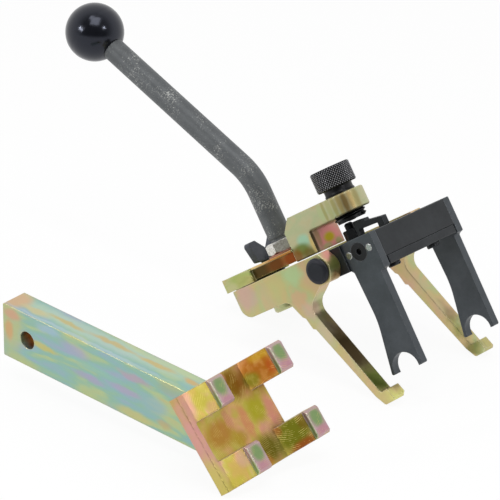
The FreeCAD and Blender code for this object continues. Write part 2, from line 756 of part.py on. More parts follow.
def make_head():
    """Plate with four arms' ends: two rising seats and two lugs on each arm, a channel between."""
    first, second = lug_starts
    profile = [
        (0, 0, 0), (head_length, 0, 0.4), (head_length, lug_top, 0.5), (second, lug_top, lug_round),
        (second, seat_end_height, 0.4), (first + lug_length + middle_length, head_floor, 0),
        (first + lug_length, head_floor, 0.5),
        (first + lug_length, lug_top, 0.5), (first, lug_top, lug_round), (first, seat_end_height, 0.4),
        (seat_start, head_base, 0), (0, head_base, 0.4),
    ]
    wire = rounded_wire(profile, lambda p: Vector(p.x, 0, p.y))
    head = Part.Face(wire).extrude(Vector(0, head_width, 0))
    channel_low = arm_width
    channel_high = head_width - arm_width
    floor = rounded_wire([(head_web, channel_low, 1.5), (head_length + 1, channel_low, 0),
                          (head_length + 1, channel_high, 0), (head_web, channel_high, 1.5)],
                         lambda p: Vector(p.x, p.y, head_floor))
    head = head.cut(Part.Face(floor).extrude(Vector(0, 0, lug_top)))
    for end, inward in ((0, 1), (channel_low, -1), (channel_high, 1), (head_width, -1)):
        corner = [Vector(0, end, lug_top - lug_chamfer), Vector(0, end, lug_top),
                  Vector(0, end + inward * lug_chamfer, lug_top)]
        bevel = Part.Face(Part.makePolygon(corner + corner[:1])).extrude(Vector(head_length, 0, 0))
        head = head.cut(bevel)
    return head.cut(block(head_plate_length, head_length + 1, channel_low, channel_high, -1, lug_top + 1))


def make_weld():
    """Weld bead all round the bar where it meets the back of the plate."""
    high = head_width - head_rise / math.sin(tilt)
    low = high - holder_height / math.sin(tilt)
    right = head_left + holder_width
    outer = [(head_left - weld_leg, low - weld_leg, 0), (right + weld_leg, low - weld_leg, 0),
             (right + weld_leg, high + weld_leg, 0), (head_left - weld_leg, high + weld_leg, 0)]
    inner = [(x, y + weld_leg, 0)
             for x, y in ((head_left, low), (right, low), (right, high), (head_left, high))]
    return Part.makeLoft([rounded_wire(outer, lambda p: Vector(p.x, p.y, 0)),
                          rounded_wire(inner, lambda p: Vector(p.x, p.y, -weld_leg))], True, True)


arm_way = Vector(0, 1, 0)
width_way = Vector(-math.cos(tilt), 0, math.sin(tilt))
face_way = Vector(math.sin(tilt), 0, math.cos(tilt))
head_drop = head_rise / math.sin(tilt) - head_width
head_corner = Vector(holder_top_length, -head_left, 0) + width_way * head_drop
head_turn = Placement(FreeCAD.Matrix(arm_way.x, width_way.x, face_way.x, head_corner.x,
                                     arm_way.y, width_way.y, face_way.y, head_corner.y,
                                     arm_way.z, width_way.z, face_way.z, head_corner.z, 0, 0, 0, 1))

holder = {"holding_bar": make_holding_bar(), "four_lug_head": make_head(), "head_weld": make_weld()}
for name in ("four_lug_head", "head_weld"):
    holder[name].Placement = head_turn
holder["head_weld"] = holder["head_weld"].cut(holder["holding_bar"])
holder_turn = Placement(Vector(holder_x, holder_y, 0), Rotation(holder_yaw, holder_dip, holder_lean))
for name in holder:
    holder[name].Placement = holder_turn.multiply(holder[name].Placement)


def lift_to_table(group):
    """Raises a group of pieces until its lowest point is on the table."""
    lowest = min(shape.optimalBoundingBox(False, False).ZMin for shape in group.values())
    for shape in group.values():
        shape.translate(Vector(0, 0, -lowest))


lift_to_table(parts)
lift_to_table(holder)
parts.update(holder)

# The origin is the middle of the set's outline on the table.
box = FreeCAD.BoundBox()
for shape in parts.values():
    box.add(shape.optimalBoundingBox(False, False))
to_origin = Vector(-(box.XMin + box.XMax) / 2, -(box.YMin + box.YMax) / 2, 0)

os.makedirs("parts", exist_ok=True)
for name, shape in parts.items():
    shape.translate(to_origin)
    shape.exportStep(f"parts/{name}.step")
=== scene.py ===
import bmesh
import bpy
import math
from mathutils import Euler, Matrix, Vector


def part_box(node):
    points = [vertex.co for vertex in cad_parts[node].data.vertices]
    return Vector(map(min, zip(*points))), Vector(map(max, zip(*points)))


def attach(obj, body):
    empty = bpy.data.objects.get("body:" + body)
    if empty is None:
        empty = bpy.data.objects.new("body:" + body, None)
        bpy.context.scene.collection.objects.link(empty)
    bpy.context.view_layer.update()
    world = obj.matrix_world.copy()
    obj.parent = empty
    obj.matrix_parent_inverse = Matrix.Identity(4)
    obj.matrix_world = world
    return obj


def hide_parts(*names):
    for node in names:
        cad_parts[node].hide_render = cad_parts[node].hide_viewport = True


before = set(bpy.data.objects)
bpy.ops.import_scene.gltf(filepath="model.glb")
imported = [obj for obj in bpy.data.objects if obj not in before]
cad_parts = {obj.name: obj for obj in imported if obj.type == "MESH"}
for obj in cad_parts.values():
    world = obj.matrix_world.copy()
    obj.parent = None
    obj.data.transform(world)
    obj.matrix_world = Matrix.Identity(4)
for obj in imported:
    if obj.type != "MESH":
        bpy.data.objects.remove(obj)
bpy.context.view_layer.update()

# The camera: a long lens, to the right of the forks and about 22 degrees above the table.
# Its place and turn are those at which the set has the outline of the photographed one.
lens_mm = 216.0
sensor_mm = 36.0
farthest_seen = 30.0
eye = Vector((1.06685, -1.41938, 0.80344))
camera_right = Vector((0.79582, 0.60156, 0.06939)).normalized()
camera_down = Vector((0.28132, -0.26583, -0.92206)).normalized()
camera_forward = camera_right.cross(camera_down).normalized()
camera_turn = Matrix((camera_right, -camera_down, -camera_forward)).transposed()
camera_data = bpy.data.cameras.new("camera")
camera_data.lens = lens_mm
camera_data.sensor_width = sensor_mm
camera_data.clip_end = farthest_seen
camera = bpy.data.objects.new("camera", camera_data)
bpy.context.scene.collection.objects.link(camera)
camera.matrix_world = Matrix.Translation(eye) @ camera_turn.to_4x4()
bpy.context.scene.camera = camera
bpy.context.scene.view_settings.view_transform = "Standard"


# The table and the light: a pale floor under white surroundings, with the darker room
# behind the camera, one large soft box overhead and two small lamps left and right.
def linear(code):
    """Linear colour and alpha from an sRGB hex value such as C8B98A."""
    channels = [int(code[i:i + 2], 16) / 255 for i in (0, 2, 4)]
    return [c / 12.92 if c <= 0.04045 else ((c + 0.055) / 1.055) ** 2.4 for c in channels] + [1.0]


def add(tree, kind, inputs=(), **settings):
    """Adds a node with its settings; an input is a value or another node's output."""
    node = tree.nodes.new(kind)
    for name, value in settings.items():
        setattr(node, name, value)
    for name, value in dict(inputs).items():
        if isinstance(value, bpy.types.NodeSocket):
            tree.links.new(value, node.inputs[name])
        else:
            node.inputs[name].default_value = value
    return node


def empty_material(name):
    """A new material whose node tree holds nothing yet."""
    material = bpy.data.materials.new(name)
    material.use_nodes = True
    material.node_tree.nodes.clear()
    return material


floor_white_share = 0.93
floor_half_side = 6.0
floor_material = empty_material("pale_floor_paint")
tree = floor_material.node_tree
seen = add(tree, "ShaderNodeLightPath")
seen_by = add(tree, "ShaderNodeMath",
              {0: seen.outputs["Is Camera Ray"], 1: seen.outputs["Is Glossy Ray"]}, operation="MAXIMUM")
share = add(tree, "ShaderNodeMath", {0: seen_by.outputs[0], 1: floor_white_share}, operation="MULTIPLY")
paint = add(tree, "ShaderNodeBsdfDiffuse", {"Color": linear("F2F2F2")})
white = add(tree, "ShaderNodeEmission", {"Color": (1, 1, 1, 1), "Strength": 1.0})
mix = add(tree, "ShaderNodeMixShader", {0: share.outputs[0], 1: paint.outputs[0], 2: white.outputs[0]})
add(tree, "ShaderNodeOutputMaterial", {"Surface": mix.outputs[0]})
floor_mesh = bpy.data.meshes.new("floor")
bm = bmesh.new()
bmesh.ops.create_grid(bm, x_segments=1, y_segments=1, size=floor_half_side)
bm.to_mesh(floor_mesh)
bm.free()
floor_mesh.materials.append(floor_material)
floor = bpy.data.objects.new("floor", floor_mesh)
bpy.context.scene.collection.objects.link(floor)

toward_viewer = (0.536, -0.753, 0.381)
room_shade = 0.16
world = bpy.data.worlds.new("studio")
bpy.context.scene.world = world
world.use_nodes = True
tree = world.node_tree
tree.nodes.clear()
sky = add(tree, "ShaderNodeTexCoord")
toward_room = add(tree, "ShaderNodeVectorMath",
                  {0: sky.outputs["Generated"], 1: toward_viewer}, operation="DOT_PRODUCT")
room = add(tree, "ShaderNodeMapRange",
           {"Value": toward_room.outputs["Value"], "From Min": 0.05, "From Max": 0.8,
            "To Min": 1.0, "To Max": room_shade}, interpolation_type="SMOOTHSTEP")
seen = add(tree, "ShaderNodeLightPath")
strength = add(tree, "ShaderNodeMix",
               {"Factor": seen.outputs["Is Camera Ray"], "A": room.outputs[0], "B": 1.0})
shine = add(tree, "ShaderNodeBackground", {"Color": (1, 1, 1, 1), "Strength": strength.outputs[0]})
add(tree, "ShaderNodeOutputWorld", {"Surface": shine.outputs[0]})

lamp_aim = Vector((0, 0, 0.06))
lamps = [
    ("soft_box", (0.25, -0.45, 1.45), 0.9, 9.0),
    ("left_lamp", (-0.66, -1.12, 0.60), 0.16, 4.0),
    ("right_lamp", (1.10, -0.12, 0.95), 0.12, 2.0),
]
for name, place, size, power in lamps:
    lamp_data = bpy.data.lights.new(name, "AREA")
    lamp_data.size = size
    lamp_data.energy = power
    lamp = bpy.data.objects.new(name, lamp_data)
    lamp_turn = (Vector(place) - lamp_aim).to_track_quat("Z", "Y").to_matrix().to_4x4()
    lamp.matrix_world = Matrix.Translation(place) @ lamp_turn
    bpy.context.scene.collection.objects.link(lamp)

# The front hook plate: sawn and milled from flat bar, then zinc plated and passivated yellow.
# The film is thinner and thicker in clouds, so tan runs into green, pink and gold. Edges carry a
# painted cream highlight, and inner corners a painted brown shade.
pivot = Vector((0.089586, 0.08686, 0.073247))
tool_tilt = math.radians(-36.178)
# The tool's own axes start midway between the pivots: X to the forks, Y across, Z up the screw.
tool = Matrix.Translation(pivot) @ Matrix.Rotation(tool_tilt, 4, "Y")
millimetre = 0.001
relief_depth = 0.2 * millimetre


def dress(material, nodes):
    """Gives each of these CAD pieces one material."""
    for name in nodes:
        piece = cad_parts[name]
        piece.data.materials.clear()
        piece.data.materials.append(material)


def edge_wear_and_highlight(tree, radius_mm, low, high):
    """A mask that is 1 on edges and 0 on open faces, and the rounded normal that it comes from."""
    rounded = add(tree, "ShaderNodeBevel", {"Radius": radius_mm / 1000}, samples=4)
    face = add(tree, "ShaderNodeNewGeometry")
    agree = add(tree, "ShaderNodeVectorMath", {0: rounded.outputs[0], 1: face.outputs["Normal"]},
                operation="DOT_PRODUCT")
    mask = add(tree, "ShaderNodeMapRange",
               {"Value": agree.outputs["Value"], "From Min": low, "From Max": high,
                "To Min": 1.0, "To Max": 0.0}, interpolation_type="SMOOTHSTEP")
    return mask.outputs[0], rounded.outputs[0]


def corner_shade(tree, reach_mm):
    """A mask that is 1 deep in inner corners, from ambient occlusion, where a painted brown shade goes."""
    hollow = add(tree, "ShaderNodeAmbientOcclusion", {"Distance": reach_mm / 1000}, samples=6,
                 only_local=True)
    mask = add(tree, "ShaderNodeMapRange",
               {"Value": hollow.outputs["AO"], "From Min": 0.45, "From Max": 0.85,
                "To Min": 1.0, "To Max": 0.0})
    return mask.outputs[0]


def facing(tree, axes, way, low=0.55, high=0.85):
    """A mask that is 1 where the surface faces way, a direction in the piece's own axes."""
    outward = add(tree, "ShaderNodeTexCoord").outputs["Normal"]
    agree = add(tree, "ShaderNodeVectorMath", {0: outward, 1: axes.to_3x3() @ Vector(way)},
                operation="DOT_PRODUCT")
    mask = add(tree, "ShaderNodeMapRange",
               {"Value": agree.outputs["Value"], "From Min": low, "From Max": high},
               interpolation_type="SMOOTHSTEP")
    return mask.outputs[0]


def passivated_zinc(name, axes, film, cloud_mm=(36, 14, 14), start=-0.55, spread=2.1, stains_and_painted_light=(),
                    wander_mm=5.0, roughness=0.34, seed_mm=0.0, edge_share=0.75, edge_code="F1E6C0"):
    """Yellow passivated zinc. Film is its run of colours, a cloud's size is given along the piece's
    axes, and each stain, painted shade and painted highlight is given as a middle and half sizes in mm,
    a colour, a depth and a direction it faces, with the limits of facing where it is only a line along
    an edge. Edges get a painted cream highlight and inner corners a painted brown shade."""
    mottle_mm = 2.2
    drift_mm = 9.0
    tooling_mm = 0.9
    edge_mm = 1.1
    corner_shade_mm = 0.9
    material = empty_material(name)
    tree = material.node_tree
    place = add(tree, "ShaderNodeTexCoord").outputs["Object"]
    own = add(tree, "ShaderNodeMapping",
              {"Vector": place, "Location": axes.to_translation(), "Rotation": axes.to_euler(),
               "Scale": [millimetre] * 3}, vector_type="TEXTURE", name="own_axes").outputs[0]
    stretched = add(tree, "ShaderNodeVectorMath",
                    {0: own, 1: [1 / mm for mm in cloud_mm], 2: (seed_mm, 0, 0)}, operation="MULTIPLY_ADD")
    cloud = add(tree, "ShaderNodeTexNoise",
                {"Vector": stretched.outputs[0], "Scale": 1.0, "Detail": 2.5, "Roughness": 0.5,
                 "Distortion": 0.3})
    mottle = add(tree, "ShaderNodeTexNoise",
                 {"Vector": own, "Scale": 1 / mottle_mm, "Detail": 3.0, "Roughness": 0.6})
    wide = add(tree, "ShaderNodeMath", {0: cloud.outputs[0], 1: spread, 2: start},
               operation="MULTIPLY_ADD")
    level = add(tree, "ShaderNodeMath", {0: mottle.outputs[0], 1: 0.10, 2: wide.outputs[0]},
                operation="MULTIPLY_ADD")
    ramp = add(tree, "ShaderNodeValToRGB", {0: level.outputs[0]})
    stops = ramp.color_ramp.elements
    for i, code in enumerate(film):
        at = i / (len(film) - 1)
        stop = stops[i] if i < 2 else stops.new(at)
        stop.position = at
        stop.color = linear(code)
    colour = ramp.outputs[0]
    drifted = add(tree, "ShaderNodeTexNoise", {"Vector": own, "Scale": 1 / drift_mm, "Detail": 2.0})
    astray = add(tree, "ShaderNodeVectorMath",
                 {0: drifted.outputs["Color"], 1: [wander_mm * 2] * 3, 2: [-wander_mm] * 3},
                 operation="MULTIPLY_ADD")
    wandering = add(tree, "ShaderNodeVectorMath", {0: own, 1: astray.outputs[0]},
                    operation="ADD").outputs[0]
    for middle, half, code, depth, *way in stains_and_painted_light:
        away = add(tree, "ShaderNodeVectorMath",
                   {0: wandering, 1: [1 / h for h in half], 2: [-m / h for m, h in zip(middle, half)]},
                   operation="MULTIPLY_ADD")
        reach = add(tree, "ShaderNodeVectorMath", {0: away.outputs[0]}, operation="LENGTH")
        near = add(tree, "ShaderNodeMapRange",
                   {"Value": reach.outputs["Value"], "From Min": 0.35, "From Max": 1.0,
                    "To Min": depth, "To Max": 0.0}, interpolation_type="SMOOTHSTEP").outputs[0]
        if way:
            near = add(tree, "ShaderNodeMath", {0: near, 1: facing(tree, axes, *way)},
                       operation="MULTIPLY").outputs[0]
        colour = add(tree, "ShaderNodeMix", {"Factor": near, "A": colour, "B": linear(code)},
                     data_type="RGBA").outputs["Result"]
    # The edge colour mixed in here is a painted highlight along every edge.
    edge, rounded = edge_wear_and_highlight(tree, edge_mm, low=0.76, high=0.97)
    bright = add(tree, "ShaderNodeMath", {0: edge, 1: edge_share}, operation="MULTIPLY")
    colour = add(tree, "ShaderNodeMix",
                 {"Factor": bright.outputs[0], "A": colour, "B": linear(edge_code)},
                 data_type="RGBA").outputs["Result"]
    # Inner corners darken to brown: painted shade from ambient occlusion.
    corner = add(tree, "ShaderNodeMath", {0: corner_shade(tree, corner_shade_mm), 1: 0.6}, operation="MULTIPLY")
    colour = add(tree, "ShaderNodeMix",
                 {"Factor": corner.outputs[0], "A": colour, "B": linear("5A4020")},
                 data_type="RGBA").outputs["Result"]
    tooling = add(tree, "ShaderNodeTexNoise", {"Vector": own, "Scale": 1 / tooling_mm, "Detail": 2.0})
    dull = add(tree, "ShaderNodeMapRange",
               {"Value": mottle.outputs[0], "To Min": roughness - 0.06, "To Max": roughness + 0.08})
    relief = add(tree, "ShaderNodeBump",
                 {"Strength": 0.05, "Distance": relief_depth, "Height": tooling.outputs[0],
                  "Normal": rounded})
    metal = add(tree, "ShaderNodeBsdfPrincipled",
                {"Base Color": colour, "Metallic": 0.8, "Roughness": dull.outputs[0],
                 "Normal": relief.outputs[0]}, name="metal")
    add(tree, "ShaderNodeOutputMaterial", {"Surface": metal.outputs[0]})
    return material


hook_film = ["CDA596", "D2AD8C", "CDB284", "C6B67F", "B5BC86", "CCB485", "D4AC8A"]
hook_stains = [
    ((-64.6, -57, 3), (13, 9, 14), "C9A2A2", 0.6), ((-48, -57, -4), (9, 9, 15), "CFAE8A", 0.5),
    ((-36, -57, 2), (13, 9, 10), "C3BE80", 0.6), ((-20.7, -57, 4), (11, 9, 9), "AECF9A", 0.7),
    ((-24, -57, -12), (9, 9, 8), "D6A384", 0.6), ((-19, -57, -21), (10, 9, 9), "D2AAA0", 0.55),
    ((-15, -57, -38), (8, 9, 13), "C9B8A0", 0.6), ((-8, -57, -66), (8, 9, 14), "CDB08C", 0.5),
    ((4, -57, -90), (14, 9, 8), "C9C07C", 0.6),
    ((-2, -52, -20), (20, 26, 16), "6A5634", 1.0, (1, 0, 0.1)),
    ((2, -52, -50), (30, 30, 34), "463616", 1.0, (1, 0, 0.1)),
    ((8, -52, -76), (20, 30, 15), "66722A", 1.0, (1, 0, 0.1)),
    ((22, -52, -92), (16, 30, 11), "DCE07E", 0.9),
    ((12, -50, 8), (12, 14, 6), "D68E86", 0.9, (1, 0, 0), 0.2, 0.5),
    ((14, -50, 0), (12, 14, 7), "98A052", 0.9, (1, 0, 0), 0.2, 0.5),
    ((12, -50, -9), (12, 14, 7), "7A5424", 0.9, (1, 0, -0.3), 0.2, 0.5),
]
dress(passivated_zinc("hook_passivated_zinc", tool, hook_film, cloud_mm=(20, 30, 34), start=-0.25,
                      spread=1.5, stains_and_painted_light=hook_stains), ["hook_front"])

# The rear hook plate: the same plate on the far side, plated with the front one. Its inner face
# and the inner side of its leg turn green and carry painted shade from the forks.
far_hook_stains_and_shade = [
    # The inner face darkens towards the foot and the leg's inner side is dark brown: painted shade from the
    # forks over green film.
    ((-10, 47, -30), (14, 9, 20), "C9B28C", 0.6), ((-2, 47, -52), (10, 9, 16), "B8B882", 0.6),
    ((4, 47, -70), (9, 9, 14), "7E8A3A", 0.7), ((6, 47, -88), (12, 9, 8), "5E6A20", 0.7),
    ((8, 52, -50), (18, 12, 36), "5A4A28", 0.85, (1, 0, 0.35)),
    ((12, 52, -90), (10, 9, 7), "B9B070", 0.7),
]
dress(passivated_zinc("far_hook_passivated_zinc", tool, hook_film, cloud_mm=(18, 30, 30),
                      stains_and_painted_light=far_hook_stains_and_shade, seed_mm=4.0), ["hook_rear"])

# The yoke plate, which joins the two hooks under the lever bar, and the small pad under its tail:
# steel plate, plated and passivated with the hooks.
yoke_film = ["C98F86", "BFA27E", "A9B57C", "C7B88A", "8F8148"]
dress(passivated_zinc("yoke_passivated_zinc", tool, yoke_film), ["yoke_plate", "yoke_pad"])


# The pivot pins: turned steel with a wide low head, blackened in hot oxide. The rim of the
# head is rubbed to a satin grey.
def black_oxide(name, dark, pale, edge_code, roughness=0.38, grain_mm=1.4, edge_mm=0.8):
    """Hot black oxide on machined steel: a bluish grey skin, a little cloudy, paler on edges."""
    cloud_mm = 14.0
    material = empty_material(name)
    tree = material.node_tree
    place = add(tree, "ShaderNodeTexCoord").outputs["Object"]
    cloud = add(tree, "ShaderNodeTexNoise",
                {"Vector": place, "Scale": 1000 / cloud_mm, "Detail": 4.0, "Roughness": 0.6})
    grain = add(tree, "ShaderNodeTexNoise",
                {"Vector": place, "Scale": 1000 / grain_mm, "Detail": 3.0, "Roughness": 0.7})
    both = add(tree, "ShaderNodeMath", {0: grain.outputs[0], 1: 0.35, 2: cloud.outputs[0]},
               operation="MULTIPLY_ADD")
    level = add(tree, "ShaderNodeMapRange",
                {"Value": both.outputs[0], "From Min": 0.45, "From Max": 0.9})
    skin = add(tree, "ShaderNodeMix",
               {"Factor": level.outputs[0], "A": linear(dark), "B": linear(pale)}, data_type="RGBA")
    edge, rounded = edge_wear_and_highlight(tree, edge_mm, low=0.80, high=0.98)
    bright = add(tree, "ShaderNodeMath", {0: edge, 1: 0.5}, operation="MULTIPLY")
    colour = add(tree, "ShaderNodeMix",
                 {"Factor": bright.outputs[0], "A": skin.outputs["Result"], "B": linear(edge_code)},
                 data_type="RGBA")
    dull = add(tree, "ShaderNodeMapRange",
               {"Value": grain.outputs[0], "To Min": roughness - 0.08, "To Max": roughness + 0.1})
    relief = add(tree, "ShaderNodeBump",
                 {"Strength": 0.08, "Distance": relief_depth, "Height": grain.outputs[0],
                  "Normal": rounded})
    metal = add(tree, "ShaderNodeBsdfPrincipled",
                {"Base Color": colour.outputs["Result"], "Metallic": 0.5, "Roughness": dull.outputs[0],
                 "Normal": relief.outputs[0]}, name="metal")
    add(tree, "ShaderNodeOutputMaterial", {"Surface": metal.outputs[0]})
    return material


dress(black_oxide("pin_black_oxide", "1B1C22", "26272F", "6A6C76"), ["pivot_pin_front", "pivot_pin_rear"])

# The lever bar: milled flat bar over the yoke, relieved along its sides. The relieved side is
# painted a dark orange brown as shade and as the dark hook's reflection, under a gold lip with a painted
# highlight.
bar_film = ["8A7A3E", "B9B072", "A9B66C", "C3BE93", "B9A05A"]
bar_stains_and_painted_light = [
    ((-101, -17, 15), (16, 12, 8), "A6B067", 0.7), ((-108, -17, 12), (8, 12, 6), "C3BE93", 0.6),
    # Painted shade and the dark hook's painted reflection on the relieved side.
    ((-80, -15, 14.6), (16, 1.5, 9), "4E3C17", 1.0, (0, -1, 0)),
    ((-66, -15, 14.6), (13, 1.5, 9), "6A3E12", 1.0, (0, -1, 0)),
    ((-52, -15, 14.6), (12, 1.5, 9), "8A4413", 1.0, (0, -1, 0)),
    ((-58, -16.5, 19.0), (30, 1.0, 3), "B9742E", 0.9, (0, -1, 0)),
    # A painted highlight along the lip's edge.
    ((-80, -16.5, 19.0), (12, 1.0, 3), "E3BE84", 0.8, (0, -1, 0)),
]
dress(passivated_zinc("lever_bar_passivated_zinc", tool, bar_film, cloud_mm=(26, 14, 9),
                      stains_and_painted_light=bar_stains_and_painted_light, wander_mm=0.2), ["lever_bar"])

# The C-block: milled from one block and set on the bar's tenon; its arm carries the thumb
# screw. Inside the throat the film is pink with a yellow heart, with a painted shadow at its front. The
# round end carries painted bands of light and shade, the edge strip a painted highlight and the bottom
# edge a painted dark line of shade.
block_film = ["B9A878", "BFB48A", "BFBB95", "B4BB92", "C7B992"]
block_stains_and_painted_light = [
    ((-36.5, -15, 21.5), (7.5, 6, 6), "A3CFB4", 0.85), ((-41, -15, 16.5), (10, 6, 6), "6F7E34", 0.9),
    ((-47, -15, 13), (8, 6, 8), "8A5A24", 0.85), ((-36, -15, 12), (8, 6, 6), "75652A", 0.85),
    # A painted highlight on the throat's edge strip, then bands of painted light and shade across the round
    # end.
    ((-30.4, -15, 17), (2.6, 6, 9), "D9BE78", 0.8), ((-14, -14, 32), (3.4, 7, 12), "B6C08E", 0.7),
    ((-10.6, -15, 33), (1.8, 5, 12), "A09A58", 0.7), ((-6, -15, 33), (3, 5, 12), "B0B07A", 0.7),
    ((-1.6, -15, 33), (2.2, 5, 12), "A39A58", 0.7), ((2.4, -13.5, 33), (2.2, 5, 12), "B8A25E", 0.7),
    ((5.6, -11.6, 33), (2.4, 5, 12), "8E7440", 0.9), ((8.6, -9, 33), (2.2, 5, 12), "A88C54", 0.8),
    ((10.2, -5, 33), (2.2, 4, 12), "A89A62", 0.8),
    ((-29.4, 2, 17), (6, 22, 16), "D98A86", 0.95, (1, 0, 0)),
    ((-29.4, 9.6, 12), (6, 5, 4), "9AA060", 0.8, (1, 0, 0)),
    ((-29.4, -3, 12), (6, 7, 3), "A9B070", 0.7, (1, 0, 0)),
    ((-29.4, -8.5, 20), (6, 3.6, 9), "A88A62", 0.8, (1, 0, 0)),
    ((-29.4, 2.1, 17.1), (6, 8.0, 4.8), "B9A414", 1.0, (1, 0, 0)),
    # A painted shadow on the throat wall next to the front face, and a painted dark line of shade along the
    # bottom edge where the block sits on the hooks.
    ((-29.4, -13.6, 19), (6, 3.0, 14), "54452A", 1.0, (1, 0, 0)),
    ((-25, -15, 9.8), (60, 6, 1.9), "241A08", 1.0),
]
dress(passivated_zinc("c_block_passivated_zinc", tool, block_film, cloud_mm=(26, 14, 14),
                      stains_and_painted_light=block_stains_and_painted_light, wander_mm=0.5, edge_share=0.25, roughness=0.42), ["c_block"])

# The lever rod: round bar bent once, phosphated dark grey. The grey is a little cloudy, with
# fine pale specks where it is rubbed through.
rod_cloud_mm = 9.0
rod_speck_mm = 1.1
rod_patch_mm = 17.0
rod_material = empty_material("rod_phosphated_steel")
tree = rod_material.node_tree
place = add(tree, "ShaderNodeTexCoord").outputs["Object"]
cloud = add(tree, "ShaderNodeTexNoise",
            {"Vector": place, "Scale": 1000 / rod_cloud_mm, "Detail": 5.0, "Roughness": 0.6})
skin = add(tree, "ShaderNodeMix",
           {"Factor": cloud.outputs[0], "A": linear("4A4D4F"), "B": linear("66696B")}, data_type="RGBA")
specks = add(tree, "ShaderNodeTexNoise",
             {"Vector": place, "Scale": 1000 / rod_speck_mm, "Detail": 4.0, "Roughness": 0.8})
patches = add(tree, "ShaderNodeTexNoise",
              {"Vector": place, "Scale": 1000 / rod_patch_mm, "Detail": 3.0})
patchy = add(tree, "ShaderNodeMath", {0: patches.outputs[0], 1: 0.45, 2: specks.outputs[0]},
             operation="MULTIPLY_ADD")
rubbed_and_highlit = add(tree, "ShaderNodeMapRange",
             {"Value": patchy.outputs[0], "From Min": 0.81, "From Max": 0.93, "To Max": 0.8})
colour = add(tree, "ShaderNodeMix",
             {"Factor": rubbed_and_highlit.outputs[0], "A": skin.outputs["Result"], "B": linear("C9C9C4")},
             data_type="RGBA")
relief = add(tree, "ShaderNodeBump",
             {"Strength": 0.15, "Distance": relief_depth, "Height": specks.outputs[0]})
metal = add(tree, "ShaderNodeBsdfPrincipled",
            {"Base Color": colour.outputs["Result"], "Metallic": 0.35, "Roughness": 0.5,
             "Normal": relief.outputs[0]})
add(tree, "ShaderNodeOutputMaterial", {"Surface": metal.outputs[0]})
dress(rod_material, ["lever_rod"])

# The washer under the rod's nut: stamped steel, zinc plated. Its passivate film is thin, and
# pink rather than yellow.
washer_film = ["A8655A", "B9786A", "9C5A4C"]
dress(passivated_zinc("washer_passivated_zinc", tool, washer_film, cloud_mm=(8, 8, 8), edge_share=0.3),
      ["rod_washer"])


# The lock nut of the rod: cold formed steel with bright zinc. Its skin is pale, with a
# crystalline grain.
def bright_metal(name, dark, pale, roughness, grain_mm, relief_strength=0.2):
    """Bright zinc or bare ground steel with a fine grain, white on edges."""
    edge_mm = 0.6
    material = empty_material(name)
    tree = material.node_tree
    place = add(tree, "ShaderNodeTexCoord").outputs["Object"]
    grain = add(tree, "ShaderNodeTexNoise",
                {"Vector": place, "Scale": 1000 / grain_mm, "Detail": 4.0, "Roughness": 0.7})
    spangle = add(tree, "ShaderNodeMapRange",
                  {"Value": grain.outputs[0], "From Min": 0.35, "From Max": 0.65})
    skin = add(tree, "ShaderNodeMix",
               {"Factor": spangle.outputs[0], "A": linear(dark), "B": linear(pale)}, data_type="RGBA")
    edge, rounded = edge_wear_and_highlight(tree, edge_mm, low=0.80, high=0.98)
    bright = add(tree, "ShaderNodeMath", {0: edge, 1: 0.4}, operation="MULTIPLY")
    colour = add(tree, "ShaderNodeMix",
                 {"Factor": bright.outputs[0], "A": skin.outputs["Result"], "B": linear("FFFFFF")},
                 data_type="RGBA")
    relief = add(tree, "ShaderNodeBump",
                 {"Strength": relief_strength, "Distance": relief_depth, "Height": grain.outputs[0],
                  "Normal": rounded})
    metal = add(tree, "ShaderNodeBsdfPrincipled",
                {"Base Color": colour.outputs["Result"], "Metallic": 0.9, "Roughness": roughness,
                 "Normal": relief.outputs[0]})
    add(tree, "ShaderNodeOutputMaterial", {"Surface": metal.outputs[0]})
    return material


dress(bright_metal("nut_bright_zinc", "BDB7AD", "F4F4F0", roughness=0.34, grain_mm=1.6,
                   relief_strength=0.5),
      ["rod_lock_nut"])

# The ball knob: moulded black phenolic, polished, with a fine parting line round its middle
# and a small flat face where the rod enters.
ball_radius = 0.020
ball_face_radius = 0.0085
ball_flat_radius = 0.007905
ball_rings = 48
parting_half_width = 0.0008
parting_depth = 0.000105
haze_mm = 6.0
rod_bend_angle = math.radians(29.1)
merge_distance = 1e-6
ball_material = empty_material("ball_moulded_phenolic")
tree = ball_material.node_tree
place = add(tree, "ShaderNodeTexCoord").outputs["Object"]
haze = add(tree, "ShaderNodeTexNoise",
           {"Vector": place, "Scale": 1000 / haze_mm, "Detail": 5.0, "Roughness": 0.7})
dull = add(tree, "ShaderNodeMapRange", {"Value": haze.outputs[0], "To Min": 0.12, "To Max": 0.27})
tone = add(tree, "ShaderNodeMix",
           {"Factor": haze.outputs[0], "A": linear("050609"), "B": linear("0A0B10")}, data_type="RGBA")
plastic = add(tree, "ShaderNodeBsdfPrincipled",
              {"Base Color": tone.outputs["Result"], "Roughness": dull.outputs[0], "IOR": 1.55,
               "Specular Tint": linear("D6DCF2")})
add(tree, "ShaderNodeOutputMaterial", {"Surface": plastic.outputs[0]})


def finished(bm, name, material, body, replaced, smooth_angle):
    """Makes the bmesh a piece at the origin that rides on its body and stands for its node."""
    bmesh.ops.remove_doubles(bm, verts=bm.verts, dist=merge_distance)
    bmesh.ops.recalc_face_normals(bm, faces=bm.faces)
    mesh = bpy.data.meshes.new(name)
    bm.to_mesh(mesh)
    bm.free()
    mesh.materials.append(material)
    mesh.shade_smooth()
    mesh.set_sharp_from_angle(angle=math.radians(smooth_angle))
    piece = bpy.data.objects.new(name, mesh)
    bpy.context.scene.collection.objects.link(piece)
    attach(piece, body)
    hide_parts(replaced)


def turned(bm, profile, steps=96):
    """Spins a line of (radius, height) points round Z into a closed shape."""
    verts = [bm.verts.new((radius, 0, height)) for radius, height in profile]
    edges = [bm.edges.new(pair) for pair in zip(verts, verts[1:])]
    bmesh.ops.spin(bm, geom=verts + edges, cent=(0, 0, 0), axis=(0, 0, 1), angle=2 * math.pi,
                   steps=steps, use_merge=True)


